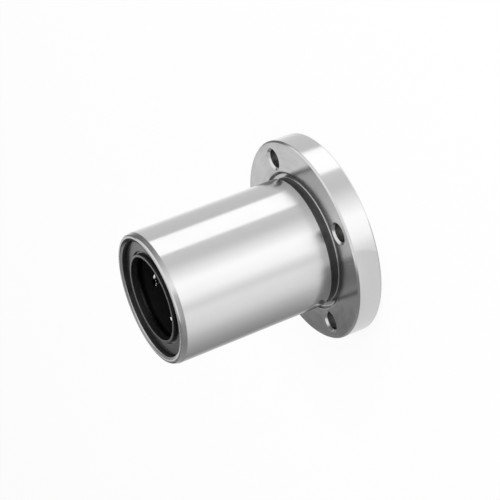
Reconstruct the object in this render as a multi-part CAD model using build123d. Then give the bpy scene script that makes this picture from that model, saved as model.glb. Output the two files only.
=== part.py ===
from build123d import *
import os
from math import asin, cos, degrees, pi, radians, sin, sqrt, tan

# A flanged linear ball bearing for a 25 mm shaft, with a round flange and a seal at each end.
# The origin lies on the bore's axis in the flange's outer face, and +Z runs along the bore
# to the free end. One pair of bolt holes lies on the X axis and the other on the Y axis.

# The shaft that the bearing takes, and the ring of space round it up to the housing's bore, mm
shaft_d = 25.0
radial_section = 7.5

# Outside of the sleeve
length = 59.0
flange_width = 11.0
flange_thickness = 8.0
flange_edge = 0.5
lead_in_length = 1.6
lead_in_depth = 0.45
end_edge = 0.3
neck_depth = 0.5
neck_width = 2.2
undercut_width = 1.5
undercut_depth = 0.6

# Bolt holes in the middle of the flange's width, with a counterbore in the outer face
bolt_count = 4
bolt_hole_d = 5.5
bolt_mouth_d = 6.9
counterbore_d = 9.0
counterbore_depth = 5.1

# Balls and their circuits. The first loaded row stands at first_row_angle from the X axis
ball_d = 3.969
circuit_count = 6
first_row_angle = 5.0
row_angle = 22.0
row_rise = 1.05
shaft_play = 0.01
raceway_play = 0.02
return_play = 0.12
ball_play = 0.05
ball_sides = 8
ball_bands = 4

# Inside of the sleeve: a bevelled mouth at each end, a straight seat, and raised raceway
# lands between the return rows
mouth_width = 0.8
mouth_depth = 0.4
raceway_length = 40.0
raceway_ramp = 2.0
raceway_root = 0.5
return_half_angle = 10.5

# Retainer that guides the balls
bore_play = 0.25
retainer_play = 0.15
track_play = 0.15
end_web = 1.0

# Spring rings that hold the retainer, in grooves of the seat
ring_thickness = 1.2
ring_width = 2.0
ring_gap = 5.0
ring_groove_depth = 0.6
ring_play = 0.05

# Seals: a flat ring sunk below the sleeve's end, then a moat and a lip that stands up from it
seal_recess = 1.7
seal_thickness = 1.8
seal_play = 0.03
seal_edge = 0.3
moat_width = 0.6
moat_depth = 0.5
lip_height = 1.0
lip_crest_width = 0.8
lip_slope_width = 0.1
lip_slope_length = 1.5
lip_tip_width = 0.4
lip_play = 0.03
lip_relief = 0.75

# Worked out from the sizes above
shaft_r = shaft_d / 2
body_r = shaft_r + radial_section
flange_r = body_r + flange_width
middle = length / 2
ball_r = ball_d / 2
load_r = shaft_r + shaft_play + ball_r
return_r = load_r + row_rise
raceway_r = load_r + ball_r + raceway_play
seat_r = return_r + ball_r + return_play
seal_back = seal_recess + seal_thickness
groove_end = seal_back + ring_thickness + 2 * ring_play
retainer_end = groove_end + ring_play
track_r = ball_r + track_play
turn_r = sqrt(load_r**2 + return_r**2 - 2 * load_r * return_r * cos(radians(row_angle))) / 2
row_half = middle - retainer_end - end_web - track_r - turn_r
row_angles = [first_row_angle + 360 * i / circuit_count for i in range(circuit_count)]


def turned(points):
    """A solid turned about the bore's axis from its half section of radius and height points."""
    return revolve(Plane.XZ * make_face(Polyline(points, close=True)), Axis.Z)


def from_end(end, depth):
    """The height of a place that lies depth inward from the sleeve's flange end or free end."""
    return depth if end == "flange" else length - depth


def turned_at(end, points):
    """A turned solid whose section points are a radius and a depth from one end."""
    return turned([(r, from_end(end, depth)) for r, depth in points])


def sleeve_blank():
    """The turned sleeve and flange in one, with the neck that lets both be ground to the corner."""
    undercut_r = body_r + undercut_width
    undercut_floor = flange_thickness - undercut_depth
    neck_r = body_r - neck_depth
    neck_top = flange_thickness + neck_width
    return turned([
        (seat_r + mouth_width, 0),
        (flange_r - flange_edge, 0),
        (flange_r, flange_edge),
        (flange_r, flange_thickness - flange_edge),
        (flange_r - flange_edge, flange_thickness),
        (undercut_r, flange_thickness),
        (undercut_r - undercut_depth, undercut_floor),
        (neck_r, undercut_floor),
        (neck_r, neck_top),
        (body_r, neck_top),
        (body_r, length - lead_in_length),
        (body_r - lead_in_depth, length - end_edge),
        (body_r - lead_in_depth - end_edge, length),
        (seat_r + mouth_width, length),
        (seat_r, length - mouth_depth),
        (seat_r, mouth_depth),
    ])


def raceway_land(angle, play=0.0):
    """The raised land over one loaded row, or with play the retainer's pocket that clears it."""
    inner = raceway_r - play
    root = seat_r + raceway_root
    low = middle - raceway_length / 2 - play
    high = middle + raceway_length / 2 + play
    section = Polyline(
        [(inner, low + raceway_ramp), (root, low), (root, high), (inner, high - raceway_ramp)],
        close=True,
    )
    half = 180 / circuit_count - return_half_angle + degrees(play / raceway_r)
    sector = revolve(Plane.XZ * make_face(section), Axis.Z, revolution_arc=2 * half)
    return Rot(0, 0, angle + row_angle - 180 / circuit_count - half) * sector


def ring_groove(end):
    """The groove in the seat that takes a spring ring."""
    groove_r = seat_r + ring_groove_depth
    inside = seat_r - ring_width
    return turned_at(
        end,
        [(inside, seal_back), (groove_r, seal_back), (groove_r, groove_end), (inside, groove_end)],
    )


def bolt_hole():
    """A counterbored bolt hole whose mouth in the ground face is bevelled."""
    hole_r = bolt_hole_d / 2
    mouth_r = bolt_mouth_d / 2
    bore_r = counterbore_d / 2
    beyond = flange_thickness
    return turned([
        (0, -beyond),
        (bore_r, -beyond),
        (bore_r, counterbore_depth),
        (hole_r, counterbore_depth),
        (hole_r, flange_thickness - (mouth_r - hole_r)),
        (mouth_r, flange_thickness),
        (mouth_r, flange_thickness + beyond),
        (0, flange_thickness + beyond),
    ])


def outer_sleeve():
    """The hardened sleeve with its flange, bolt holes, ring grooves and raceway lands."""
    sleeve = sleeve_blank() + [raceway_land(angle) for angle in row_angles]
    holes = PolarLocations(body_r + flange_width / 2, bolt_count) * bolt_hole()
    return sleeve - [ring_groove("flange"), ring_groove("free")] - holes


def circuit_plane(angle):
    """The plane of one circuit: x from loaded row to return row, y along the bore, z outward."""
    loaded = Vector(load_r, 0, middle).rotate(Axis.Z, angle)
    returning = Vector(return_r, 0, middle).rotate(Axis.Z, angle + row_angle)
    across = returning - loaded
    return Plane((loaded + returning) * 0.5, x_dir=across, z_dir=across.cross(Vector(0, 0, 1)))


def track():
    """The closed way of one circuit: its floor has bevelled corners, narrower than a ball."""
    floor = track_r * tan(pi / 8)
    reach = seat_r - load_r + track_r
    outline = Polyline(
        [
            (-track_r, reach),
            (-track_r, -floor),
            (-floor, -track_r),
            (floor, -track_r),
            (track_r, -floor),
            (track_r, reach),
        ],
        close=True,
    )
    section = Plane.XZ * Pos(turn_r, 0) * make_face(outline)
    row = extrude(section, row_half, both=True)
    turn = Pos(0, row_half, 0) * revolve(section, Axis.Z, revolution_arc=180)
    half_way = row + turn
    return half_way + Rot(0, 0, 180) * half_way


def ball_retainer():
    """The moulded retainer: loaded rows show through slots in its bore, return rows do not."""
    retainer_r = seat_r - retainer_play
    retainer_bore_r = shaft_r + bore_play
    top = length - retainer_end
    blank = turned([
        (retainer_bore_r, retainer_end),
        (retainer_r, retainer_end),
        (retainer_r, top),
        (retainer_bore_r, top),
    ])
    way = track()
    pockets = [raceway_land(angle, retainer_play) for angle in row_angles]
    return blank - pockets - [circuit_plane(angle) * way for angle in row_angles]


def ball():
    """One ball with flat facets, its points on the true sphere and two of them on local z."""
    points = [(0, 0, -ball_r), (0, 0, ball_r)]
    for band in range(1, ball_bands):
        tilt = pi * band / ball_bands
        for side in range(ball_sides):
            turn = 2 * pi * side / ball_sides
            ring_r = ball_r * sin(tilt)
            points.append((ring_r * cos(turn), ring_r * sin(turn), ball_r * cos(tilt)))
    return ConvexPolyhedron(points)


def ball_places():
    """Ball centres of one circuit in its own plane: the loaded row, the return row, both turns."""
    pitch = ball_d + ball_play
    turn_angle = pi / 2 - asin(pitch / (2 * turn_r))
    turn_x = turn_r * cos(turn_angle)
    turn_y = turn_r * sin(turn_angle)
    row_end = row_half + turn_y - sqrt(pitch**2 - (turn_r - turn_x) ** 2)
    steps = int(2 * row_end / pitch)
    row_ys = [pitch * (i - steps / 2) for i in range(steps + 1)]
    turn_ends = [(x, y) for y in (-row_half - turn_y, row_half + turn_y) for x in (-turn_x, turn_x)]
    return {
        "loaded_balls": [(-turn_r, y) for y in row_ys],
        "return_balls": [(turn_r, y) for y in row_ys],
        "turn_balls": turn_ends,
    }


def spring_ring(end):
    """An open spring ring that snaps into its groove and stops the retainer."""
    outer = seat_r + ring_groove_depth - ring_play
    inner = outer - ring_width
    near = seal_back + ring_play
    far = near + ring_thickness
    ring = turned_at(end, [(inner, near), (outer, near), (outer, far), (inner, far)])
    opening = Box(outer, ring_gap, outer, align=(Align.MIN, Align.CENTER, Align.CENTER))
    return ring - Pos(0, 0, from_end(end, near)) * opening


def end_seal(end):
    """A rubber seal: flat ring pressed in the seat, a moat, and a raised lip for the shaft."""
    seal_r = seat_r - seal_play
    tip_r = shaft_r + lip_play
    crest_r = tip_r + lip_slope_width
    lip_r = crest_r + lip_crest_width
    moat_r = lip_r + moat_width
    crest = seal_recess - lip_height
    tip = crest + lip_slope_length
    return turned_at(end, [
        (seal_r, seal_back),
        (seal_r, seal_recess + seal_edge),
        (seal_r - seal_edge, seal_recess),
        (moat_r, seal_recess),
        (moat_r, seal_recess + moat_depth),
        (lip_r, seal_recess + moat_depth),
        (lip_r, crest),
        (crest_r, crest),
        (tip_r, tip),
        (tip_r, tip + lip_tip_width),
        (tip_r + lip_relief, seal_back),
    ])


def ball_groups():
    """The balls of every circuit, as named groups of separate balls."""
    one_ball = ball()
    groups = {}
    for number, angle in enumerate(row_angles, start=1):
        plane = circuit_plane(angle)
        for name, places in ball_places().items():
            balls = [(plane * Pos(x, y, 0) * one_ball).solid() for x, y in places]
            groups[f"{name}_{number}"] = Compound(balls)
    return groups


def pieces():
    """Every piece of the bearing by name."""
    named = {"outer_sleeve": outer_sleeve(), "ball_retainer": ball_retainer()}
    for end in ("flange", "free"):
        named[f"{end}_end_spring_ring"] = spring_ring(end)
        named[f"{end}_end_seal"] = end_seal(end)
    return named | ball_groups()


os.makedirs("parts", exist_ok=True)
for node, shape in pieces().items():
    export_step(shape, f"parts/{node}.step")
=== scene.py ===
import math

import bmesh
import bpy
import numpy as np
from bpy.props import FloatProperty, FloatVectorProperty, IntProperty, PointerProperty
from bpy.types import Operator, Panel, PropertyGroup
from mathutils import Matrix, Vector


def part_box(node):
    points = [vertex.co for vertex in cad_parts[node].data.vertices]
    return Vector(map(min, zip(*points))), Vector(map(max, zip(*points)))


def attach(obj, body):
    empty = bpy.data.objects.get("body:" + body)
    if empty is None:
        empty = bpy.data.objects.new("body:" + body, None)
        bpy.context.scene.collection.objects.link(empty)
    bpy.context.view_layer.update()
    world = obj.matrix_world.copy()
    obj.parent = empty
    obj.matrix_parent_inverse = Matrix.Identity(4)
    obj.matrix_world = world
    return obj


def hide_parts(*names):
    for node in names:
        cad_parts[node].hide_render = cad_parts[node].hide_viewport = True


bl_info = {
    "name": "Flanged Linear Bearing",
    "version": (1, 0, 0),
    "blender": (4, 5, 0),
    "location": "3D View > Sidebar > Bearing",
    "description": "Dresses a round-flanged linear ball bearing and sets it on a studio floor",
    "category": "Object",
}

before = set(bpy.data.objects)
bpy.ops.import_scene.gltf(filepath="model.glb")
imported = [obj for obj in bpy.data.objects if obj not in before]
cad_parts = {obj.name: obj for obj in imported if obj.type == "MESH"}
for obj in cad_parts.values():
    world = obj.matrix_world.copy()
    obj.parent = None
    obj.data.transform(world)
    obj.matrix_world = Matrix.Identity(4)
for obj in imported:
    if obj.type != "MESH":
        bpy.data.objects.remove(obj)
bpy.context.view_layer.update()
SLEEVE_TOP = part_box("outer_sleeve")[1]
SEAL_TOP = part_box("free_end_seal")[1]
BODY = "root"
MM = 0.001

# The sleeve's columns stand a degree apart from this angle on, and the flange's faces are made
# of patches of this half width round and between the bolt holes, both in degrees
FIRST_COLUMN = -45.5
PATCH_HALF = 22.5
# Half the angle in degrees that a return row takes between two raised lands
RETURN_HALF = 10.5
# Widths of the flat rings between a softened edge and its face: at the sleeve's wall, and at
# the flange's rim and bolt holes
FACE_JOIN = 0.2 * MM
EDGE_JOIN = 0.1 * MM
# How near to a surface the middle of a face lies that belongs to it
NEAR = 0.02 * MM
# Points nearer than the first are merged, and edges shorter than the second dissolved
SAME_POINT = 0.0005 * MM
NO_LENGTH = 0.0002 * MM
# Edges whose faces meet at more than this are sharp
SHARP = math.radians(50)
# Between these a noise texture has most of its values
NOISE_SPAN = {"From Min": 0.3, "From Max": 0.7}
# Where the overhead softbox points, near the bearing's middle
MIDDLE = Vector((0, 0, 0.03))
WHITE = (1, 1, 1, 1)


# Sizes and colours


def size(name, default, description):
    """A length in metres that the user may change, given here in millimetres."""
    return FloatProperty(
        name=name, description=description, default=default * MM, unit="LENGTH", precision=5
    )


def angle(name, default, description):
    """An angle in radians that the user may change, given here in degrees."""
    return FloatProperty(
        name=name, description=description, default=math.radians(default), subtype="ANGLE"
    )


def amount(name, default, description):
    """A plain number, 0 or more, that the user may change."""
    return FloatProperty(name=name, description=description, default=default, min=0)


def colour(name, code, description):
    """A colour that the user may change, given here as an sRGB hex code."""
    return FloatVectorProperty(
        name=name,
        description=description,
        default=linear(code),
        size=3,
        subtype="COLOR",
        min=0,
        max=1,
    )


def linear(code):
    """The linear red, green and blue of an sRGB hex code."""
    srgb = np.array([int(code[i : i + 2], 16) for i in (1, 3, 5)]) / 255
    return tuple(np.where(srgb <= 0.04045, srgb / 12.92, ((srgb + 0.055) / 1.055) ** 2.4))


class SleeveSizes(PropertyGroup):
    """Sizes and colours of the ground sleeve and its flange."""

    flange_radius: size("Flange radius", SLEEVE_TOP.x / MM, "Radius of the round flange")
    length: size("Length", SLEEVE_TOP.z / MM, "Length of sleeve and flange together")
    body_radius: size("Body radius", 20.0, "Radius of the ground cylinder that enters the housing")
    flange_thickness: size("Flange thickness", 8.0, "Thickness of the flange")
    flange_edge: size("Flange edge", 0.5, "Size of the bevels on the flange's rim")
    lead_in_length: size("Lead-in length", 1.6, "Length of the shallow lead-in at the free end")
    lead_in_depth: size("Lead-in depth", 0.45, "How much the lead-in takes off the radius")
    end_edge: size("End edge", 0.3, "Size of the bevel between lead-in and end face")
    neck_depth: size("Neck depth", 0.5, "Depth of the relief neck beside the flange")
    neck_width: size("Neck width", 2.2, "Width of the relief neck beside the flange")
    undercut_width: size("Undercut width", 1.5, "Width of the undercut ring in the flange's face")
    undercut_depth: size("Undercut depth", 0.6, "Depth of the undercut ring in the flange's face")
    seat_radius: size("Seat radius", 17.649, "Radius of the seat that takes seals and retainer")
    mouth_width: size("Mouth width", 0.8, "How far the bevel at each mouth reaches outward")
    mouth_depth: size("Mouth depth", 0.4, "Depth of the bevel at each mouth")
    raceway_radius: size("Raceway radius", 16.499, "Radius of the raised lands over the loaded rows")
    raceway_length: size("Raceway length", 40.0, "Length of the raised lands")
    raceway_ramp: size("Raceway ramp", 2.0, "Length of the ramp at each end of a land")
    ramp_start: size("Ramp start", 0.6, "How far in from a land's end its ramp leaves the seat")
    land_root: size("Land root", 0.5, "How deep the ramps are rooted in the wall")
    ring_groove_radius: size("Ring groove radius", 18.249, "Radius of the spring rings' grooves")
    ring_groove_start: size("Ring groove start", 3.5, "Depth of the grooves below the ends")
    ring_groove_width: size("Ring groove width", 1.3, "Width of the spring rings' grooves")
    bolt_circle_radius: size("Bolt circle radius", 25.5, "Radius of the circle of bolt holes")
    bolt_hole_radius: size("Bolt hole radius", 2.75, "Radius of the bolt holes")
    bolt_mouth_radius: size("Bolt mouth radius", 3.45, "Radius of the bevelled mouths")
    counterbore_radius: size("Counterbore radius", 4.5, "Radius of the counterbores")
    counterbore_depth: size("Counterbore depth", 5.1, "Depth of the counterbores")
    softness: size("Edge softness", 0.09, "How far each ground edge is broken")
    root_softness: size("Root softness", 0.19, "How round the corners at the undercut's floor are")
    end_softness: size("End softness", 0.2, "How round the edges at the free end are")
    mouth_softness: size("Mouth softness", 0.27, "How round the outer edge of the mouth bevel is")
    steel: colour("Ground steel", "#DBDBDB", "Colour of the ground bearing steel")
    # This colour is darker than drilled steel: it paints the shade inside the bolt holes
    drilled: colour("Drilled steel", "#8C8B8A", "Colour of the drilled holes' walls")
    # This colour is far darker than unground steel: it paints the shade in the neck groove and inside the
    # sleeve
    hardened_shaded: colour("Hardened steel", "#6A6A69", "Colour of the hardened steel that isn't ground")


class SealSizes(PropertyGroup):
    """Sizes and colour of the two rubber seals. Depths are measured inward from a sleeve end."""

    outer_radius: size("Outer radius", SEAL_TOP.x / MM, "Radius of the seal in its seat")
    recess: size("Recess", 1.7, "Depth of the seal's face")
    back: size("Back", 3.5, "Depth of the seal's back")
    edge: size("Edge", 0.3, "Bevel of the seal's outer edge")
    moat_outer: size("Moat outer radius", 14.03, "Outer radius of the moat round the lip")
    moat_inner: size("Moat inner radius", 13.43, "Outer radius of the lip")
    moat_floor: size("Moat floor", 2.2, "Depth of the moat's floor")
    crest: size("Crest", 0.7, "Depth of the lip's crest")
    crest_radius: size("Crest radius", 12.63, "Inner radius of the lip's crest")
    tip_radius: size("Tip radius", 12.53, "Radius of the lip's tip, which meets the shaft")
    tip: size("Tip", 2.2, "Depth at which the tip starts")
    tip_width: size("Tip width", 0.4, "Width of the tip")
    relief_radius: size("Relief radius", 13.28, "Inner radius of the seal's back")
    softness: size("Edge softness", 0.12, "How round the moulded edges are")
    rubber: colour("Rubber", "#1B1B1C", "Colour of the moulded nitrile rubber")


class RingSizes(PropertyGroup):
    """Sizes and colour of the two open spring rings."""

    outer_radius: size("Outer radius", 18.199, "Radius of the ring in its groove")
    width: size("Width", 2.0, "Width of the ring's band")
    start: size("Start", 3.55, "Depth of the ring below a sleeve end")
    thickness: size("Thickness", 1.2, "Thickness of the ring")
    gap: size("Gap", 5.0, "Opening of the ring")
    softness: size("Edge softness", 0.12, "How round the rolled edges are")
    spring_steel: colour("Spring steel", "#5B5B5E", "Colour of the tempered spring steel")


class BallSizes(PropertyGroup):
    """Sizes and colour of the balls and their six circuits."""

    diameter: size("Diameter", 3.969, "Diameter of each ball")
    load_radius: size("Load radius", 14.4945, "Distance of the loaded rows from the axis")
    row_rise: size("Row rise", 1.05, "How much further out the return rows run")
    row_half: size("Row half length", 18.6036, "Half the straight length of a row")
    spacing: size("Spacing", 4.019, "Distance from one ball to the next")
    circuits: IntProperty(name="Circuits", description="Number of ball circuits", default=6)
    first_row: angle("First row", 5, "Angle of the first loaded row from the X axis")
    row_angle: angle("Row angle", 22, "Angle from a loaded row to its return row")
    chrome: colour("Chrome steel", "#E9E9E7", "Colour of the lapped chrome steel")


class RetainerLook(PropertyGroup):
    """Colour of the ball retainer."""

    plastic: colour("Plastic", "#161617", "Colour of the moulded retainer plastic")


class StageSettings(PropertyGroup):
    """Floor, light and camera of the studio."""

    floor_side: size("Floor side", 3000.0, "Side of the square floor")
    floor: colour("Floor", "#FAFAFA", "Colour of the floor")
    floor_white: amount("Floor white", 0.88, "Share of plain white in the floor that is seen")
    ambient: amount("Ambient", 0.6, "Strength of the plain light all round")
    key_power: FloatProperty(
        name="Key power", description="Power of the overhead softbox", default=5.0, unit="POWER"
    )
    key_side: size("Key side", 700.0, "Side of the square softbox")
    key_place: FloatVectorProperty(
        name="Key place",
        description="Where the overhead softbox hangs",
        default=(0.25, -0.35, 0.9),
        size=3,
        subtype="TRANSLATION",
    )
    card_inner: size("Card inner radius", 31.3, "Where the card beside the flange starts")
    card_outer: size("Card outer radius", 47.0, "Where the card beside the flange ends")
    card_start: angle("Card start", 163, "Angle at which the card beside the flange starts")
    card_end: angle("Card end", 254, "Angle at which the card beside the flange ends")
    card_depth: size("Card depth", 0.1, "How far under the floor that card lies")
    card_level: amount("Card level", 0.83, "Brightness of the card beside the flange")
    camera_place: FloatVectorProperty(
        name="Camera place",
        description="Where the camera stands",
        default=(0.036483, -0.479406, 0.218932),
        size=3,
        subtype="TRANSLATION",
        precision=5,
    )
    camera_turn: FloatVectorProperty(
        name="Camera turn",
        description="Turn of the camera about X, Y and Z",
        default=(math.radians(-41.6246), math.radians(59.9033), math.radians(-131.7637)),
        size=3,
        subtype="EULER",
    )
    lens: amount("Lens", 127.69, "Focal length of the camera in millimetres")


# Nodes


def add_node(tree, kind, inputs=None, **settings):
    """Adds a node with its settings. Each input is a plain value, or the socket it is linked to."""
    node = tree.nodes.new(kind)
    for name, value in settings.items():
        setattr(node, name, value)
    for name, value in (inputs or {}).items():
        if isinstance(value, bpy.types.NodeSocket):
            tree.links.new(value, node.inputs[name])
        else:
            node.inputs[name].default_value = value
    return node


def new_material(name, **inputs):
    """A material with one Principled BSDF, its inputs set, and its node tree for more."""
    material = bpy.data.materials.new(name)
    material.use_nodes = True
    tree = material.node_tree
    shader = next(node for node in tree.nodes if node.type == "BSDF_PRINCIPLED")
    for name, value in inputs.items():
        shader.inputs[name.replace("_", " ")].default_value = value
    return material, tree, shader


def set_ramp(node, stops):
    """Fills a colour ramp with grey stops, each a place from 0 to 1 and a brightness."""
    elements = node.color_ramp.elements
    while len(elements) > 1:
        elements.remove(elements[-1])
    for number, (position, level) in enumerate(stops):
        element = elements[0] if number == 0 else elements.new(position)
        element.position = position
        element.color = (level, level, level, 1)


def ring_coordinates(tree):
    """Sockets of the object coordinates, of the radius and height that rings follow, and of the
    direction round the axis, in which the tools ran."""
    coordinates = add_node(tree, "ShaderNodeTexCoord").outputs["Object"]
    axes = add_node(tree, "ShaderNodeSeparateXYZ", {"Vector": coordinates})
    flat = add_node(tree, "ShaderNodeCombineXYZ", {"X": axes.outputs["X"], "Y": axes.outputs["Y"]})
    radius = add_node(tree, "ShaderNodeVectorMath", {0: flat.outputs[0]}, operation="LENGTH")
    rings = add_node(
        tree, "ShaderNodeCombineXYZ", {"X": radius.outputs["Value"], "Y": axes.outputs["Z"]}
    )
    around = add_node(
        tree, "ShaderNodeVectorMath", {0: (0, 0, 1), 1: coordinates}, operation="CROSS_PRODUCT"
    )
    along = add_node(
        tree,
        "ShaderNodeVectorTransform",
        {"Vector": around.outputs[0]},
        vector_type="VECTOR",
        convert_from="OBJECT",
        convert_to="WORLD",
    )
    return coordinates, rings.outputs[0], along.outputs[0]


def ground_steel(name, tint, spacing, roughness, relief):
    """Ground bearing steel: a bright, slightly grey metal. The wheel leaves fine lines that run
    round the axis. They blur a reflection across them far more than along them, and there are
    faint clouds where the wheel bit harder. The real lines are under 0.05 mm apart, too fine to
    show, so they are drawn coarser."""
    material, tree, shader = new_material(
        name, Metallic=1.0, Roughness=roughness, Anisotropic=0.9, Anisotropic_Rotation=0.25
    )
    coordinates, rings, around = ring_coordinates(tree)
    tree.links.new(around, shader.inputs["Tangent"])
    lines = add_node(
        tree,
        "ShaderNodeTexNoise",
        {"Vector": rings, "Scale": 1 / (spacing * MM), "Detail": 2.0, "Roughness": 0.6},
        noise_dimensions="2D",
    )
    clouds = add_node(
        tree,
        "ShaderNodeTexNoise",
        {"Vector": coordinates, "Scale": 1 / (6 * MM), "Detail": 3.0, "Roughness": 0.55},
    )
    mixed = add_node(
        tree, "ShaderNodeMath", {0: lines.outputs["Fac"], 1: clouds.outputs["Fac"]}, operation="MULTIPLY"
    )
    rough = add_node(
        tree,
        "ShaderNodeMapRange",
        {"From Min": 0.1, "From Max": 0.45}
        | {"Value": mixed.outputs[0], "To Min": roughness * 0.75, "To Max": roughness * 1.3},
    )
    wear = add_node(
        tree,
        "ShaderNodeMapRange",
        NOISE_SPAN | {"Value": clouds.outputs["Fac"], "To Min": 0.97, "To Max": 1.0},
    )
    shade = add_node(
        tree, "ShaderNodeVectorMath", {0: tint, "Scale": wear.outputs[0]}, operation="SCALE"
    )
    bump = add_node(
        tree,
        "ShaderNodeBump",
        {"Height": lines.outputs["Fac"], "Strength": relief, "Distance": 0.004 * MM},
    )
    tree.links.new(shade.outputs[0], shader.inputs["Base Color"])
    tree.links.new(rough.outputs[0], shader.inputs["Roughness"])
    tree.links.new(bump.outputs[0], shader.inputs["Normal"])
    return material


def turned_steel(name, tint, spacing, roughness, relief):
    """Steel that was turned or drilled and not ground: duller, with stains, and with the rings
    that a tool leaves at each turn, about 0.2 mm apart."""
    material, tree, shader = new_material(
        name, Metallic=1.0, Roughness=roughness, Anisotropic=0.5, Anisotropic_Rotation=0.25
    )
    coordinates, rings, around = ring_coordinates(tree)
    tree.links.new(around, shader.inputs["Tangent"])
    tool_rings = add_node(
        tree,
        "ShaderNodeTexNoise",
        {"Vector": rings, "Scale": 1 / (spacing * MM), "Detail": 1.0},
        noise_dimensions="2D",
    )
    stain = add_node(
        tree,
        "ShaderNodeTexNoise",
        {"Vector": coordinates, "Scale": 1 / (2.5 * MM), "Detail": 4.0, "Roughness": 0.6},
    )
    dark = (*(0.6 * c for c in tint), 1)
    blend = {"Factor": stain.outputs["Fac"], "A": dark, "B": (*tint, 1)}
    tone = add_node(tree, "ShaderNodeMix", blend, data_type="RGBA")
    rough = add_node(
        tree,
        "ShaderNodeMapRange",
        NOISE_SPAN
        | {"Value": stain.outputs["Fac"], "To Min": roughness * 0.85, "To Max": roughness * 1.2},
    )
    bump = add_node(
        tree,
        "ShaderNodeBump",
        {"Height": tool_rings.outputs["Fac"], "Strength": relief, "Distance": 0.02 * MM},
    )
    tree.links.new(tone.outputs["Result"], shader.inputs["Base Color"])
    tree.links.new(rough.outputs[0], shader.inputs["Roughness"])
    tree.links.new(bump.outputs[0], shader.inputs["Normal"])
    return material


def moulded(name, tint, roughness, grain, depth, gloss):
    """A moulded polymer: an even dark colour, with the fine grain of its mould in the shine. The
    real grain is about 0.05 mm, too fine to show, so it is drawn coarser. gloss adds the sheen
    of the thin film of oil that fresh rubber has."""
    material, tree, shader = new_material(
        name,
        Roughness=roughness,
        Specular_IOR_Level=0.5 + 0.5 * gloss,
        Coat_Weight=gloss,
        Coat_Roughness=0.2,
    )
    coordinates = add_node(tree, "ShaderNodeTexCoord").outputs["Object"]
    skin = add_node(
        tree,
        "ShaderNodeTexNoise",
        {"Vector": coordinates, "Scale": 1 / (grain * MM), "Detail": 3.0, "Roughness": 0.6},
    )
    flow = add_node(
        tree, "ShaderNodeTexNoise", {"Vector": coordinates, "Scale": 1 / (3 * MM), "Detail": 2.0}
    )
    dark = (*(0.8 * c for c in tint), 1)
    light = (*(min(1.0, 1.35 * c) for c in tint), 1)
    blend = {"Factor": flow.outputs["Fac"], "A": dark, "B": light}
    tone = add_node(tree, "ShaderNodeMix", blend, data_type="RGBA")
    rough = add_node(
        tree,
        "ShaderNodeMapRange",
        NOISE_SPAN
        | {"Value": skin.outputs["Fac"], "To Min": roughness * 0.85, "To Max": roughness * 1.15},
    )
    bump = add_node(
        tree,
        "ShaderNodeBump",
        {"Height": skin.outputs["Fac"], "Strength": 0.5, "Distance": depth * MM},
    )
    tree.links.new(tone.outputs["Result"], shader.inputs["Base Color"])
    tree.links.new(rough.outputs[0], shader.inputs["Roughness"])
    tree.links.new(bump.outputs[0], shader.inputs["Normal"])
    return material


def polished(name, tint, roughness):
    """A lapped or rolled metal: close to a mirror, with a faint unevenness in its gloss."""
    material, tree, shader = new_material(name, Metallic=1.0, Base_Color=(*tint, 1))
    coordinates = add_node(tree, "ShaderNodeTexCoord").outputs["Object"]
    haze = add_node(
        tree, "ShaderNodeTexNoise", {"Vector": coordinates, "Scale": 1 / (0.6 * MM), "Detail": 2.0}
    )
    rough = add_node(
        tree,
        "ShaderNodeMapRange",
        NOISE_SPAN
        | {"Value": haze.outputs["Fac"], "To Min": roughness * 0.7, "To Max": roughness * 1.4},
    )
    tree.links.new(rough.outputs[0], shader.inputs["Roughness"])
    return material


# Surfaces


def softened(corners, softness, closed=False, steps=4, guard=1.4):
    """A half section whose corners are softened. Each corner is swapped for a short parabola
    that starts and ends on its two sides at the distance of softness, or a third of the side
    where that is shorter, with one more point guard times as far out to keep the sides flat.
    softness may be one value or one for each corner. The first and last points of an open
    section stay."""
    corners = np.array(corners, float)
    softness = np.broadcast_to(softness, len(corners))[:, None]
    before = np.roll(corners, 1, axis=0)
    after = np.roll(corners, -1, axis=0)
    reach = [np.linalg.norm(side - corners, axis=1, keepdims=True) for side in (before, after)]
    near = [
        (side - corners) / span * np.minimum(softness, span / 3)
        for side, span in zip((before, after), reach)
    ]
    t = np.linspace(0, 1, steps)[None, :, None]
    start, middle, end = (corners + near[0])[:, None], corners[:, None], (corners + near[1])[:, None]
    curve = (1 - t) ** 2 * start + 2 * t * (1 - t) * middle + t**2 * end
    outer = [(corners + guard * step)[:, None] for step in near]
    points = np.concatenate([outer[0], curve, outer[1]], axis=1)
    if closed:
        return points.reshape(-1, 2)
    return np.concatenate([corners[:1], points[1:-1].reshape(-1, 2), corners[-1:]])


def quads_of(rows, columns, close_rows=False, close_columns=True):
    """Four corners of each face of a grid, which face out where columns run anticlockwise seen
    from +Z and rows run anticlockwise round the half section."""
    i, j = np.meshgrid(
        np.arange(rows if close_rows else rows - 1),
        np.arange(columns if close_columns else columns - 1),
        indexing="ij",
    )
    i_next, j_next = (i + 1) % rows, (j + 1) % columns
    corners = [i * columns + j, i * columns + j_next, i_next * columns + j_next, i_next * columns + j]
    return np.stack(corners, axis=-1).reshape(-1, 4)


def turned(section, angles, **closed):
    """A surface of revolution: each section point of radius and height is carried round the
    axis, so x and y are the radius times the angle's cosine and sine."""
    radius, height = np.array(section).T
    return turned_grid(radius[:, None] + 0 * angles, height[:, None] + 0 * angles, angles, **closed)


def turned_grid(radius, height, angles, **closed):
    """A surface whose radius and height are given for every row and every angle."""
    points = np.stack([radius * np.cos(angles), radius * np.sin(angles), height], axis=-1)
    return points.reshape(-1, 3), quads_of(*radius.shape, **closed)


def weld(surfaces):
    """Points and faces of several surfaces as one list."""
    starts = np.cumsum([0] + [len(points) for points, _ in surfaces[:-1]])
    points = np.concatenate([points for points, _ in surfaces])
    faces = np.concatenate([quads + start for (_, quads), start in zip(surfaces, starts)])
    return points, faces


def add_object(name, data):
    """A new object in the scene, with its mesh, light or camera."""
    thing = bpy.data.objects.new(name, data)
    bpy.context.scene.collection.objects.link(thing)
    return thing


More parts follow.
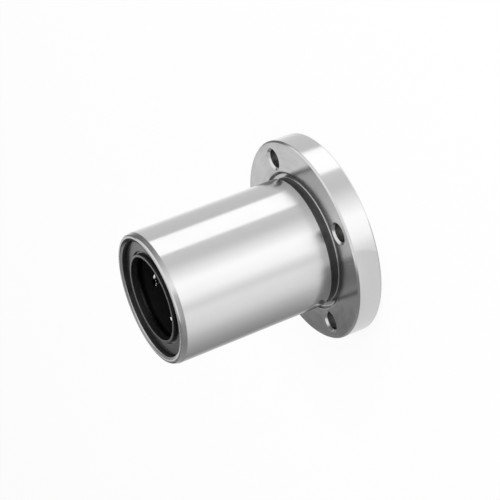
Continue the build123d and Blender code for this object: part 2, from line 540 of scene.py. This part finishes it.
def make_piece(name, surface, materials, choose=None):
    """A smooth mesh object from points and faces, with doubles merged so that it is closed.
    choose gives each face's material number from its centre."""
    points, faces = surface
    mesh = bpy.data.meshes.new(name)
    mesh.from_pydata(points.tolist(), [], faces.tolist())
    for material in materials:
        mesh.materials.append(material)
    if choose:
        numbers = choose(points[faces].mean(axis=1))
        mesh.polygons.foreach_set("material_index", numbers.astype(np.int32))
    work = bmesh.new()
    work.from_mesh(mesh)
    bmesh.ops.remove_doubles(work, verts=work.verts, dist=SAME_POINT)
    bmesh.ops.dissolve_degenerate(work, edges=work.edges, dist=NO_LENGTH)
    work.to_mesh(mesh)
    work.free()
    mesh.polygons.foreach_set("use_smooth", np.ones(len(mesh.polygons), bool))
    mesh.set_sharp_from_angle(angle=SHARP)
    return add_object(name, mesh)


def place(piece, slot, *nodes):
    """Lets a finished piece ride on the bearing and stand for its CAD nodes."""
    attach(piece, BODY)
    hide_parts(*nodes)


# Sleeve


def land_edges(balls):
    """Start and end angles of the raised lands, which lie between the return rows, in degrees."""
    pitch = 360 / balls.circuits
    middle = math.degrees(balls.first_row + balls.row_angle) - pitch / 2
    middles = middle + pitch * np.arange(balls.circuits)
    half = pitch / 2 - RETURN_HALF
    return middles - half, middles + half


def sleeve_columns(balls, outside=0.05):
    """Angles of the sleeve's columns in degrees: one each degree, and one close outside each
    edge of a land, so that its sides are steep."""
    low, high = land_edges(balls)
    extra = np.concatenate([low - outside, high + outside])
    extra = (extra - FIRST_COLUMN) % 360 + FIRST_COLUMN
    return np.unique(np.concatenate([np.arange(360) + FIRST_COLUMN, extra]))


def inside_wall(s, top):
    """Corners of the sleeve's inside from the free end down: the seat and both ring grooves."""
    near, far = s.ring_groove_start, s.ring_groove_start + s.ring_groove_width
    middle = s.length / 2
    half = s.raceway_length / 2
    lands = [middle + half, middle + half - s.ramp_start, middle + half - s.raceway_ramp]
    lands += [2 * middle - z for z in reversed(lands)]
    seat, groove = s.seat_radius, s.ring_groove_radius
    corners = [(seat, top), (seat, s.length - near), (groove, s.length - near)]
    corners += [(groove, s.length - far), (seat, s.length - far)]
    corners += [(seat, z) for z in lands]
    corners += [(seat, far), (groove, far), (groove, near), (seat, near), (seat, s.mouth_depth)]
    return corners


def cylinder_wall(s, balls, columns):
    """From the flange's face in to the neck, up the body, over the free end and down the inside.
    A corner is a radius, a height and a softness. Inside, the radius is held to a land's where
    the angle lies in one: the land rises from the seat along its ramp, stays level, and falls
    again."""
    edge = s.flange_thickness
    face = s.body_radius + s.undercut_width
    floor = edge - s.undercut_depth
    neck = s.body_radius - s.neck_depth
    mouth = s.seat_radius + s.mouth_width
    lead_in = s.body_radius - s.lead_in_depth
    soft = s.softness
    corners = [
        (face + FACE_JOIN, edge, soft),
        (face, edge, soft),
        (face - s.undercut_depth, floor, s.root_softness),
        (neck, floor, s.root_softness),
        (neck, edge + s.neck_width, soft),
        (s.body_radius, edge + s.neck_width, soft),
        (s.body_radius, s.length - s.lead_in_length, s.end_softness),
        (lead_in, s.length - s.end_edge, s.end_softness),
        (lead_in - s.end_edge, s.length, soft),
        (mouth, s.length, s.mouth_softness),
    ]
    corners += [(*corner, soft) for corner in inside_wall(s, s.length - s.mouth_depth)]
    corners += [(mouth, 0, soft), (mouth + FACE_JOIN, 0, soft)]
    corners = np.array(corners)
    section = softened(corners[:, :2], corners[:, 2])
    radius, height = section[:, :1], section[:, 1:]
    reach = s.raceway_length / 2 - np.abs(height - s.length / 2)
    root = s.seat_radius + s.land_root
    rise = (root - s.raceway_radius) / s.raceway_ramp
    land = np.maximum(root - reach * rise, s.raceway_radius)
    low, high = land_edges(balls)
    turn = (columns[None, :] - low[:, None]) % 360
    on_land = (turn <= (high - low)[:, None] + 1e-6).any(axis=0)
    inside = (radius < s.seat_radius + 1e-7) & (reach > 0)
    held = np.where(inside & on_land[None, :], np.minimum(radius, land), radius)
    return turned_grid(held, height + 0 * held, np.radians(columns))


def flange_rim(s, columns):
    """The flange's rim with a bevel at each side."""
    r, t, edge = s.flange_radius, s.flange_thickness, s.flange_edge
    inner = r - edge - EDGE_JOIN
    corners = [(inner, 0), (r - edge, 0), (r, edge), (r, t - edge), (r - edge, t), (inner, t)]
    return turned(softened(corners, s.softness), np.radians(columns))


def face_radii(s, top, rings=12):
    """Radii of the rings of points on the flange's upper or lower face, from inside to rim."""
    inner = s.body_radius + s.undercut_width if top else s.seat_radius + s.mouth_width
    return np.linspace(inner + FACE_JOIN, s.flange_radius - s.flange_edge - EDGE_JOIN, rings)


def face_between(s, columns, top):
    """The part of a flange face between two bolt holes, as rings of points."""
    angles = np.radians(columns)
    radius = face_radii(s, top)[:: -1 if top else 1, None] + 0 * angles
    height = 0 * radius + (s.flange_thickness if top else 0)
    return turned_grid(radius, height, angles, close_columns=False)


def columns_between(columns, low, high):
    """The columns from one angle to another in degrees, also across the first column."""
    turn = low + (columns - low + 1e-6) % 360 - 1e-6
    return np.sort(turn[turn <= high + 1e-6])


def patch_loop(columns, radius):
    """Round the edge of the patch of a face with one hole, clockwise seen from +Z: along the
    inner circle, out, back along the outer circle, and in."""
    angles = np.radians(columns)
    inner, steps, outer = radius[0], radius[1:-1], radius[-1]
    radius = np.concatenate([
        np.full(len(angles), inner), steps, np.full(len(angles), outer), steps[::-1]
    ])
    turn = np.concatenate([
        angles, np.full(len(steps), angles[-1]), angles[::-1], np.full(len(steps), angles[0])
    ])
    return np.stack([radius * np.cos(turn), radius * np.sin(turn)], axis=-1)


def bolted_patch(s, columns, hole_angle):
    """The patches of the flange's two faces round one bolt hole. On a face a point lies on the
    straight line from the hole's edge to the patch's edge. The hole's wall is a half section
    carried round the hole's axis, along the same directions."""
    t = s.flange_thickness
    centre = s.bolt_circle_radius * np.array([math.cos(hole_angle), math.sin(hole_angle)])
    upper = patch_loop(columns, face_radii(s, True))
    lower = patch_loop(columns, face_radii(s, False))
    away = upper - centre
    away /= np.linalg.norm(away, axis=1, keepdims=True)
    bevel = s.bolt_mouth_radius - s.bolt_hole_radius
    corners = [(s.counterbore_radius + EDGE_JOIN, 0), (s.counterbore_radius, 0)]
    corners += [(s.counterbore_radius, s.counterbore_depth), (s.bolt_hole_radius, s.counterbore_depth)]
    corners += [(s.bolt_hole_radius, t - bevel), (s.bolt_mouth_radius, t)]
    corners += [(s.bolt_mouth_radius + EDGE_JOIN, t)]
    section = softened(corners, s.softness)
    wall = flat_rows(centre + section[:, :1, None] * away[None], section[:, 1])
    share = np.array([0, 0.02, 0.2, 0.5, 0.8, 0.98, 1])[:, None, None]
    top = flat_rows((1 - share) * (centre + section[-1, 0] * away) + share * upper, t)
    bottom = flat_rows((1 - share[::-1]) * (centre + section[0, 0] * away) + share[::-1] * lower, 0)
    return [wall, top, bottom]


def flat_rows(places, height):
    """A grid of x and y places at one height, or at one height for each row. The columns of a
    closed grid lie clockwise seen from +Z."""
    height = np.broadcast_to(np.reshape(height, (-1, 1)), places.shape[:2])
    points = np.concatenate([places, height[..., None]], axis=-1)
    return points.reshape(-1, 3), quads_of(*places.shape[:2])


class BEARING_OT_sleeve(Operator):
    """Makes the ground sleeve with its flange, bolt holes, neck, lead-in and raceway lands"""

    bl_idname = "bearing.make_sleeve"
    bl_label = "Sleeve and flange"

    def execute(self, context):
        s, balls = context.scene.bearing_sleeve, context.scene.bearing_balls
        columns = sleeve_columns(balls)
        surfaces = [cylinder_wall(s, balls, columns), flange_rim(s, columns)]
        for hole in (0, 90, 180, 270):
            holed = columns_between(columns, hole - PATCH_HALF, hole + PATCH_HALF)
            plain = columns_between(columns, hole + PATCH_HALF, hole + 3 * PATCH_HALF)
            surfaces += bolted_patch(s, holed, math.radians(hole))
            surfaces += [face_between(s, plain, True), face_between(s, plain, False)]
        materials = [
            ground_steel("ground_bearing_steel", s.steel, spacing=0.16, roughness=0.17, relief=0.25),
            ground_steel("face_ground_steel", s.steel, spacing=0.22, roughness=0.18, relief=0.5),
            # The third finish paints the shade in the neck groove and inside the sleeve with its dark
            # colour
            turned_steel("unground_steel_painted_shade", s.hardened_shaded, spacing=0.25, roughness=0.42, relief=0.4),
            # The fourth finish paints the shade inside the bolt holes and on the deeper half of their
            # bevels
            turned_steel("drilled_hole_steel_painted_shade", s.drilled, spacing=0.2, roughness=0.34, relief=0.3),
        ]
        piece = make_piece("ground_sleeve", weld(surfaces), materials, lambda at: finish_at(s, at))
        place(piece, "bearing_steel", "outer_sleeve")
        return {"FINISHED"}


def finish_at(s, at):
    """Number of the sleeve's finish at each place: 0 ground, 1 face ground, also in the undercut,
    2 unground steel in the neck and inside, darkened to paint the shade there, 3 drilled in the
    bolt holes up to half their bevel, also darkened to paint the shade in the holes."""
    radius, height = np.hypot(at[:, 0], at[:, 1]), at[:, 2]
    above = height - s.flange_thickness
    neck = (above > s.root_softness - s.undercut_depth) & (above < s.neck_width + NEAR)
    neck &= radius < s.body_radius - NEAR
    past_mouths = np.abs(height - s.length / 2) < s.length / 2 - s.ring_groove_start / 2
    inside = past_mouths & (radius < s.ring_groove_radius + NEAR) | (radius < s.seat_radius + NEAR)
    short, far = np.sort(np.abs(at[:, :2]), axis=1).T
    drilled = np.hypot(far - s.bolt_circle_radius, short) < s.counterbore_radius + s.softness / 2
    bevel = s.bolt_mouth_radius - s.bolt_hole_radius
    drilled &= (height > NEAR) & (height < s.flange_thickness - bevel / 2)
    ends = np.array([0, s.flange_thickness, s.length])
    face = np.abs(height[:, None] - ends).min(axis=1) < NEAR
    face |= (np.abs(radius - s.body_radius) < s.undercut_width) & (above < 0)
    return np.select([neck | inside, drilled, face], [2, 3, 1], 0)


# Seals, rings and balls


def at_end(section, end, length):
    """A half section given by radius and depth, set at one end of the sleeve. At the flange its
    order is turned round, so that its faces still face out."""
    return section * (1, -1) + (0, length) if end == "free" else section[::-1]


class BEARING_OT_seals(Operator):
    """Makes both rubber seals: a flat ring, a moat and a raised lip"""

    bl_idname = "bearing.make_seals"
    bl_label = "Seals"

    def execute(self, context):
        s = context.scene.bearing_seals
        rubber = moulded(
            "moulded_nitrile_rubber", s.rubber, roughness=0.3, grain=0.14, depth=0.02, gloss=0.6
        )
        corners = [(s.outer_radius, s.back), (s.outer_radius, s.recess + s.edge)]
        corners += [(s.outer_radius - s.edge, s.recess), (s.moat_outer, s.recess)]
        corners += [(s.moat_outer, s.moat_floor), (s.moat_inner, s.moat_floor)]
        corners += [(s.moat_inner, s.crest), (s.crest_radius, s.crest), (s.tip_radius, s.tip)]
        corners += [(s.tip_radius, s.tip + s.tip_width), (s.relief_radius, s.back)]
        angles = np.radians(np.arange(0, 360, 1.5))
        section = softened(corners, s.softness, closed=True)
        for end in ("free", "flange"):
            placed = at_end(section, end, context.scene.bearing_sleeve.length)
            surface = turned(placed, angles, close_rows=True)
            seal = make_piece(f"{end}_end_rubber_seal", surface, [rubber])
            place(seal, "seal_rubber", f"{end}_end_seal")
        return {"FINISHED"}


class BEARING_OT_rings(Operator):
    """Makes the two open spring rings that hold the retainer"""

    bl_idname = "bearing.make_rings"
    bl_label = "Spring rings"

    def execute(self, context):
        s = context.scene.bearing_rings
        steel = polished("tempered_spring_steel", s.spring_steel, roughness=0.3)
        inner = s.outer_radius - s.width
        far = s.start + s.thickness
        corners = [(inner, far), (s.outer_radius, far), (s.outer_radius, s.start), (inner, s.start)]
        section = softened(corners, s.softness, closed=True)
        half_gap = math.asin(s.gap / 2 / s.outer_radius)
        angles = np.linspace(half_gap, 2 * math.pi - half_gap, 160)
        for end in ("free", "flange"):
            placed = at_end(section, end, context.scene.bearing_sleeve.length)
            ring = make_piece(f"{end}_end_open_ring", open_ring(placed, angles), [steel])
            place(ring, "spring_steel", f"{end}_end_spring_ring")
        return {"FINISHED"}


def open_ring(section, angles):
    """A section carried round part of a circle. Its first and last columns repeat the end
    columns drawn in to the section's middle, which closes both ends."""
    angles = np.concatenate([angles[:1], angles, angles[-1:]])
    middle = section.mean(axis=0)
    share = np.ones(len(angles))
    share[[0, -1]] = 0
    radius = middle[0] + (section[:, :1] - middle[0]) * share
    height = middle[1] + (section[:, 1:] - middle[1]) * share
    return turned_grid(radius, height, angles, close_rows=True, close_columns=False)


def round_ball(side=4):
    """A ball of radius 1 from the six faces of a cube, each a grid of side by side faces whose
    points are spaced by equal angles and pushed out to the sphere."""
    step = np.tan(np.linspace(-math.pi / 4, math.pi / 4, side + 1))
    u, v = np.meshgrid(step, step, indexing="ij")
    one = np.ones_like(u)
    faces = [(one, u, v), (-one, v, u), (v, one, u), (u, -one, v), (u, v, one), (v, u, -one)]
    grids = [np.stack(axes, axis=-1).reshape(-1, 3) for axes in faces]
    quads = quads_of(side + 1, side + 1, close_columns=False)[:, ::-1]
    points, quads = weld([(grid, quads) for grid in grids])
    return points / np.linalg.norm(points, axis=1, keepdims=True), quads


def ball_centres(s, middle):
    """Centres of the balls in each circuit. A circuit lies in a plane through its loaded row and
    its return row: x runs from one to the other, y along the bore, from the plane's middle."""
    start = s.first_row + 2 * math.pi / s.circuits * np.arange(s.circuits)
    outer = s.load_radius + s.row_rise
    end = start + s.row_angle
    loaded = s.load_radius * np.stack([np.cos(start), np.sin(start)], axis=-1)
    returning = outer * np.stack([np.cos(end), np.sin(end)], axis=-1)
    origin, across = (loaded + returning) / 2, (returning - loaded) / 2
    turn = np.linalg.norm(across[0])
    tilt = math.pi / 2 - math.asin(s.spacing / 2 / turn)
    bend_x, bend_y = math.cos(tilt), turn * math.sin(tilt)
    row_end = s.row_half + bend_y - math.sqrt(s.spacing**2 - (turn * (1 - bend_x)) ** 2)
    count = int(2 * row_end / s.spacing) + 1
    row = s.spacing * (np.arange(count) - (count - 1) / 2)
    ends = np.array([-1, -1, 1, 1]) * (s.row_half + bend_y)
    places = {
        "loaded": (np.full(count, -1.0), row),
        "return": (np.full(count, 1.0), row),
        "turn": (bend_x * np.array([-1, 1, -1, 1]), ends),
    }
    for name, (x, y) in places.items():
        flat = origin[:, None] + across[:, None] * x[None, :, None]
        height = np.broadcast_to(middle + y, flat.shape[:2])
        yield name, np.concatenate([flat, height[..., None]], axis=-1)


class BEARING_OT_balls(Operator):
    """Makes the 132 balls, one piece for each row or pair of turns of a circuit"""

    bl_idname = "bearing.make_balls"
    bl_label = "Balls"

    def execute(self, context):
        s = context.scene.bearing_balls
        chrome = polished("lapped_chrome_steel", s.chrome, roughness=0.1)
        unit, quads = round_ball()
        for name, circuits in ball_centres(s, context.scene.bearing_sleeve.length / 2):
            for number, centres in enumerate(circuits, start=1):
                balls = [(centre + unit * s.diameter / 2, quads) for centre in centres]
                piece = make_piece(f"chrome_{name}_balls_{number}", weld(balls), [chrome])
                place(piece, "ball_steel", f"{name}_balls_{number}")
        return {"FINISHED"}


class BEARING_OT_retainer(Operator):
    """Gives the ball retainer its moulded plastic"""

    bl_idname = "bearing.finish_retainer"
    bl_label = "Retainer"

    def execute(self, context):
        tint = context.scene.bearing_retainer.plastic
        plastic = moulded(
            "moulded_retainer_plastic", tint, roughness=0.38, grain=0.2, depth=0.015, gloss=0.0
        )
        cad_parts["ball_retainer"].data.materials[0] = plastic
        return {"FINISHED"}


# Stage


def floor_material(tint, white):
    """Plain pale studio floor. The camera sees it with a large share of plain white, and it keeps
    the bearing's soft shadow. From below it is clear, so that the outer face shows."""
    material, tree, shader = new_material("pale_studio_floor", Roughness=0.9)
    shader.inputs["Base Color"].default_value = (*tint, 1)
    path = add_node(tree, "ShaderNodeLightPath")
    glow = add_node(tree, "ShaderNodeEmission", {"Strength": 1.0})
    share = add_node(
        tree, "ShaderNodeMath", {0: path.outputs["Is Camera Ray"], 1: white}, operation="MULTIPLY"
    )
    seen = add_node(
        tree, "ShaderNodeMixShader", {0: share.outputs[0], 1: shader.outputs[0], 2: glow.outputs[0]}
    )
    clear = add_node(tree, "ShaderNodeBsdfTransparent")
    back = add_node(tree, "ShaderNodeNewGeometry").outputs["Backfacing"]
    both = add_node(tree, "ShaderNodeMixShader", {0: back, 1: seen.outputs[0], 2: clear.outputs[0]})
    output = next(node for node in tree.nodes if node.type == "OUTPUT_MATERIAL")
    tree.links.new(both.outputs[0], output.inputs["Surface"])
    return material


# Brightness that polished metal sees, by degrees anticlockwise from +X. The low cards stand
# below the horizon and light the upright walls. The high ones light lead-in and faces.
LOW_CARDS = [
    (-180, 0.65), (-169.6, 0.8), (-157.6, 0.95), (-145.6, 1.02), (-133.6, 1.07), (-121.6, 0.95),
    (-115.6, 1.06), (-103.6, 1.34), (-91.6, 1.41), (-79.6, 1.42), (-73.6, 1.3), (-61.6, 1.07),
    (-49.6, 0.83), (-43.6, 0.77), (-24.8, 0.82), (-23, 1.48), (13.2, 1.48), (14.8, 0.74),
    (52.4, 0.75), (58.4, 0.79), (64.4, 0.87), (70.4, 0.99), (94.4, 1.1), (97, 1.1), (100, 0.6),
    (118.4, 0.5), (124.4, 0.34), (130.4, 0.3), (154.4, 0.41), (166.4, 0.51), (180, 0.65),
]
HIGH_CARDS = [
    (-180, 0.25), (-154, 0.32), (-135, 0.38), (-112, 0.45), (-96, 0.54), (-84, 1.05), (-76, 1.15),
    (-66, 0.95), (-54, 0.74), (-40, 0.55), (-24, 0.38), (-8, 0.28), (8, 0.25), (24, 0.19),
    (40, 0.16), (56, 0.2), (72, 0.28), (80, 0.28), (86, 0.5), (89, 0.82), (91, 0.9), (94, 0.8),
    (95, 0.56), (96, 0.2), (97.2, 0.03), (112, 0.03), (118, 0.3), (127, 0.36), (150, 0.3),
    (180, 0.25),
]
# Where they meet, as heights on a globe of radius 1: low cards and high cards, then high cards
# and ceiling. Across the globe, from the near side and +X to the far side and -X, the ceiling
# goes from its near level to its far one, and starts higher by its lift.
LOW_TO_HIGH = (-0.2, -0.08)
HIGH_TO_CEILING = (0.34, 0.46)
CEILING_LEVELS, LEVELS_ACROSS = (1.0, 0.25), (0.05, 0.4)
CEILING_LIFT, LIFT_ACROSS = 0.14, (0.0, 0.6)


def studio_world(s):
    """Plain white light all round. Polished metal sees a studio instead: low and high cards
    round the horizon, and a ceiling that is brighter and hangs lower on the camera's side and
    towards +X."""
    world = bpy.data.worlds.new("plain_studio")
    world.use_nodes = True
    tree = world.node_tree
    tree.nodes.clear()
    direction = add_node(tree, "ShaderNodeTexCoord").outputs["Generated"]
    x, y, z = add_node(tree, "ShaderNodeSeparateXYZ", {"Vector": direction}).outputs
    azimuth = add_node(tree, "ShaderNodeMath", {0: y, 1: x}, operation="ARCTAN2")
    full_turn = {"Value": azimuth.outputs[0], "From Min": -math.pi, "From Max": math.pi}
    place_round = add_node(tree, "ShaderNodeMapRange", full_turn)
    bands = []
    for cards in (LOW_CARDS, HIGH_CARDS):
        band = add_node(tree, "ShaderNodeValToRGB", {"Fac": place_round.outputs[0]})
        set_ramp(band, [((degrees + 180) / 360, level) for degrees, level in cards])
        bands.append(band.outputs[0])
    across = add_node(tree, "ShaderNodeMath", {0: y, 1: x}, operation="SUBTRACT").outputs[0]
    height = add_node(tree, "ShaderNodeMath", {0: z}, operation="SUBTRACT")
    # Each of these turns smoothly from one level to another between two places
    ceiling, lift, share_high, share_ceiling = [
        add_node(
            tree,
            "ShaderNodeMapRange",
            {"Value": value, "From Min": start, "From Max": end, "To Min": low, "To Max": high},
            interpolation_type="SMOOTHSTEP",
        ).outputs[0]
        for value, (start, end), (low, high) in (
            (across, LEVELS_ACROSS, CEILING_LEVELS),
            (across, LIFT_ACROSS, (0, CEILING_LIFT)),
            (z, LOW_TO_HIGH, (0, 1)),
            (height.outputs[0], HIGH_TO_CEILING, (0, 1)),
        )
    ]
    tree.links.new(lift, height.inputs[1])
    studio = bands[0]
    for share, above in ((share_high, bands[1]), (share_ceiling, ceiling)):
        studio = add_node(
            tree, "ShaderNodeMix", {"Factor": share, "A": studio, "B": above}, data_type="RGBA"
        ).outputs["Result"]
    plain, cards, white = [
        add_node(tree, "ShaderNodeBackground", {"Color": light, "Strength": strength}).outputs[0]
        for light, strength in ((WHITE, s.ambient), (studio, 1.0), (WHITE, 1.0))
    ]
    path = add_node(tree, "ShaderNodeLightPath")
    seen = plain
    for ray, light in (("Is Glossy Ray", cards), ("Is Camera Ray", white)):
        seen = add_node(tree, "ShaderNodeMixShader", {0: path.outputs[ray], 1: seen, 2: light}).outputs[0]
    add_node(tree, "ShaderNodeOutputWorld", {"Surface": seen})
    return world


def add_softbox(s):
    """A square softbox overhead that points at the bearing."""
    light = bpy.data.lights.new("overhead_softbox", "AREA")
    light.shape, light.size, light.energy = "SQUARE", s.key_side, s.key_power
    lamp = add_object("overhead_softbox", light)
    lamp.location = s.key_place
    lamp.rotation_euler = (MIDDLE - lamp.location).to_track_quat("-Z", "Y").to_euler()
    lamp.visible_glossy = False


def add_rim_card(s):
    """A white card that lies flat beside the flange on its -X side, just under the floor. Only
    its reflection shows, in the rim, and the longer sight lines from the body pass over it."""
    angles = np.linspace(s.card_start, s.card_end, 24)
    radius = np.array([[s.card_inner], [s.card_outer]]) + 0 * angles
    points, quads = turned_grid(radius, 0 * radius - s.card_depth, angles, close_columns=False)
    mesh = bpy.data.meshes.new("rim_card")
    mesh.from_pydata(points.tolist(), [], quads.tolist())
    material = bpy.data.materials.new("lit_card")
    material.use_nodes = True
    tree = material.node_tree
    tree.nodes.clear()
    glow = add_node(tree, "ShaderNodeEmission", {"Strength": s.card_level})
    add_node(tree, "ShaderNodeOutputMaterial", {"Surface": glow.outputs[0]})
    mesh.materials.append(material)
    card = add_object("rim_card", mesh)
    card.visible_camera = card.visible_diffuse = card.visible_shadow = False
    card.visible_transmission = False


def add_floor(s):
    """A flat square floor that the bearing stands on and metal doesn't mirror."""
    half = s.floor_side / 2
    corners = [(-half, -half, 0), (half, -half, 0), (half, half, 0), (-half, half, 0)]
    mesh = bpy.data.meshes.new("studio_floor")
    mesh.from_pydata(corners, [], [(0, 1, 2, 3)])
    mesh.materials.append(floor_material(s.floor, s.floor_white))
    floor = add_object("studio_floor", mesh)
    floor.visible_glossy = False


def add_camera(s):
    """The camera at the photograph's place and angle."""
    camera = bpy.data.cameras.new("camera")
    camera.lens = s.lens
    camera.sensor_width = 36
    camera.clip_start, camera.clip_end = 0.01, 20
    view = add_object("camera", camera)
    view.location = s.camera_place
    view.rotation_euler = s.camera_turn
    bpy.context.scene.camera = view


class BEARING_OT_stage(Operator):
    """Sets the floor, the studio light and the camera"""

    bl_idname = "bearing.set_stage"
    bl_label = "Stage"

    def execute(self, context):
        s = context.scene.bearing_stage
        add_floor(s)
        context.scene.world = studio_world(s)
        add_softbox(s)
        add_rim_card(s)
        add_camera(s)
        context.scene.view_settings.view_transform = "Standard"
        return {"FINISHED"}


# Add-on

STEPS = (
    BEARING_OT_sleeve,
    BEARING_OT_seals,
    BEARING_OT_rings,
    BEARING_OT_balls,
    BEARING_OT_retainer,
    BEARING_OT_stage,
)
GROUPS = {
    "bearing_sleeve": SleeveSizes,
    "bearing_seals": SealSizes,
    "bearing_rings": RingSizes,
    "bearing_balls": BallSizes,
    "bearing_retainer": RetainerLook,
    "bearing_stage": StageSettings,
}


class BEARING_PT_panel(Panel):
    """Lists the bearing's sizes, colours and steps"""

    bl_idname = "BEARING_PT_panel"
    bl_label = "Flanged linear bearing"
    bl_space_type = "VIEW_3D"
    bl_region_type = "UI"
    bl_category = "Bearing"

    def draw(self, context):
        for (name, group), step in zip(GROUPS.items(), STEPS):
            box = self.layout.box()
            box.operator(step.bl_idname)
            for size_name in group.__annotations__:
                box.prop(getattr(context.scene, name), size_name)


def register():
    """Makes the settings, steps and panel known to Blender."""
    for group in GROUPS.values():
        bpy.utils.register_class(group)
    for name, group in GROUPS.items():
        setattr(bpy.types.Scene, name, PointerProperty(type=group))
    for step in STEPS:
        bpy.utils.register_class(step)
    bpy.utils.register_class(BEARING_PT_panel)


def unregister():
    """Takes back what register did."""
    bpy.utils.unregister_class(BEARING_PT_panel)
    for step in reversed(STEPS):
        bpy.utils.unregister_class(step)
    for name in GROUPS:
        delattr(bpy.types.Scene, name)
    for group in reversed(GROUPS.values()):
        bpy.utils.unregister_class(group)


def main():
    """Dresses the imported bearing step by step."""
    register()
    for step in STEPS:
        area, action = step.bl_idname.split(".")
        getattr(getattr(bpy.ops, area), action)()


if __name__ == "__main__":
    main()
